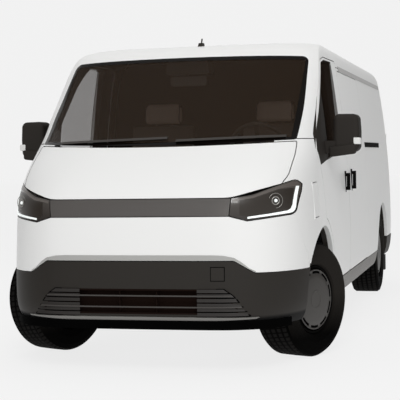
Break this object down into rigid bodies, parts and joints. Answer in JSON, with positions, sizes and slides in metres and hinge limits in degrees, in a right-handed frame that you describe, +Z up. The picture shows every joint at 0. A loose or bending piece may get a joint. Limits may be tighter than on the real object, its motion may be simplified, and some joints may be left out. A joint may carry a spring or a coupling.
{
  "type": "panel van",
  "caption": "Long electric panel van with a sloping nose, a full-width dark front band, steered front wheels, hinged cab doors, rear doors, bonnet and charge flap.",
  "frame": {"origin": "on the ground under the middle of the van's bounding box", "axes": "+X to the van's left side, +Y to its rear, +Z up"},
  "size_m": [2.2916, 5.3213, 2.0646],
  "materials": {
    "white_paint": "gloss white paint",
    "dark_plastic": "dark grained plastic",
    "black_gloss": "gloss black",
    "band_plastic": "satin dark grey with fine lines",
    "lamp_glass": "clear lens over a dark housing",
    "red_lens": "red lens",
    "tinted_glass": "tinted glass",
    "tyre_rubber": "matt",
    "flap_rubber": "matt",
    "wheel_steel": "dark grey paint",
    "underbody": "dark coating",
    "cast_alloy": "cast",
    "cast_iron": "as cast",
    "cab_plastic": "grained",
    "seat_fabric": "woven",
    "load_steel": "primer grey white"
  },
  "bodies": {
    "body": {"roof_panel": "white_paint", "windscreen": "tinted_glass", "grille_band": "band_plastic", "front_panel": "white_paint", "front_bumper": "dark_plastic", "lower_grille": "dark_plastic", "bulkhead": "load_steel", "floor_pan": "underbody", "dashboard": "cab_plastic", "battery_pack": "underbody", "drive_unit": "cast_alloy", "front_subframe": "underbody", "rear_axle": "underbody", "rear_bumper": "dark_plastic", "roof_antenna": "black_gloss", "inner_mirror": "cab_plastic", "wipers": "dark_plastic", "front_fenders": "white_paint", "body_frame": "load_steel", "headlamps": "lamp_glass", "side_panels": "white_paint", "sliding_doors": "white_paint", "tail_lamps": "red_lens", "sill_trims": "dark_plastic", "wheel_liners": "dark_plastic", "front_struts": "cast_iron", "mudflaps": "flap_rubber", "roof_rails": "dark_plastic", "belt_rails": "dark_plastic", "slide_handles": "dark_plastic", "seats": "seat_fabric"},
    "bonnet_lid": {"bonnet": "white_paint"},
    "charge_lid": {"charge_flap": "white_paint"},
    "steering_hand_wheel": {"steering_wheel": "cab_plastic"},
    "steer_left": {"knuckle_left": "cast_iron"},
    "front_wheel_set_left": {"front_tyre_left": "tyre_rubber", "front_wheel_left": "wheel_steel"},
    "rear_wheel_set_left": {"rear_tyre_left": "tyre_rubber", "rear_wheel_left": "wheel_steel"},
    "front_door_set_left": {"front_door_left": "white_paint", "door_glass_left": "tinted_glass", "door_mirror_left": "dark_plastic", "door_handle_left": "dark_plastic"},
    "rear_leaf_left": {"rear_door_left": "white_paint"},
    "steer_right": {"knuckle_right": "cast_iron"},
    "front_wheel_set_right": {"front_tyre_right": "tyre_rubber", "front_wheel_right": "wheel_steel"},
    "rear_wheel_set_right": {"rear_tyre_right": "tyre_rubber", "rear_wheel_right": "wheel_steel"},
    "front_door_set_right": {"front_door_right": "white_paint", "door_glass_right": "tinted_glass", "door_mirror_right": "dark_plastic", "door_handle_right": "dark_plastic"},
    "rear_leaf_right": {"rear_door_right": "white_paint"}
  },
  "joints": [
    {"name": "steer_left", "type": "hinge", "parent": "body", "child": "steer_left", "pos_m": [0.76, -1.8144, 0.3525], "axis": [0, 0, 1], "range_deg": [-14, 62]},
    {"name": "steer_right", "type": "hinge", "parent": "body", "child": "steer_right", "pos_m": [-0.76, -1.8144, 0.3525], "axis": [0, 0, 1], "range_deg": [-14, 62]},
    {"name": "front_wheel_spin_left", "type": "hinge", "parent": "steer_left", "child": "front_wheel_set_left", "pos_m": [0.80568, -1.83474, 0.3525], "axis": [0.9135, -0.4067, 0], "continuous": true},
    {"name": "rear_wheel_spin_left", "type": "hinge", "parent": "body", "child": "rear_wheel_set_left", "pos_m": [0.81, 1.7556, 0.3525], "axis": [1, 0, 0], "continuous": true},
    {"name": "front_wheel_spin_right", "type": "hinge", "parent": "steer_right", "child": "front_wheel_set_right", "pos_m": [-0.80568, -1.79406, 0.3525], "axis": [0.9135, -0.4067, 0], "continuous": true},
    {"name": "rear_wheel_spin_right", "type": "hinge", "parent": "body", "child": "rear_wheel_set_right", "pos_m": [-0.81, 1.7556, 0.3525], "axis": [1, 0, 0], "continuous": true},
    {"name": "steering_wheel_turn", "type": "hinge", "parent": "body", "child": "steering_hand_wheel", "pos_m": [0.425, -1.1744, 1.3], "axis": [0, 0.8192, 0.5736], "range_deg": [-197, 869]},
    {"name": "front_door_left", "type": "hinge", "parent": "body", "child": "front_door_set_left", "pos_m": [0.946, -1.6964, 0.87], "axis": [0, 0, -1], "range_deg": [0, 70]},
    {"name": "rear_door_left", "type": "hinge", "parent": "body", "child": "rear_leaf_left", "pos_m": [0.905, 2.6106, 1.1], "axis": [0, 0, -1], "range_deg": [0, 180]},
    {"name": "front_door_right", "type": "hinge", "parent": "body", "child": "front_door_set_right", "pos_m": [-0.946, -1.6964, 0.87], "axis": [0, 0, 1], "range_deg": [0, 70]},
    {"name": "rear_door_right", "type": "hinge", "parent": "body", "child": "rear_leaf_right", "pos_m": [-0.905, 2.6106, 1.1], "axis": [0, 0, 1], "range_deg": [0, 180]},
    {"name": "bonnet_hinge", "type": "hinge", "parent": "body", "child": "bonnet_lid", "pos_m": [0, -1.9624, 1.318], "axis": [-1, 0, 0], "range_deg": [0, 50]},
    {"name": "charge_flap_hinge", "type": "hinge", "parent": "body", "child": "charge_lid", "pos_m": [0.93629, -2.0659, 0.866], "axis": [0.0819, -0.0439, -0.9957], "range_deg": [0, 100]}
  ],
  "couplings": [
    {"joint": "steer_right", "follows": "steer_left", "ratio": 1},
    {"joint": "steering_wheel_turn", "follows": "steer_left", "ratio": 14}
  ]
}
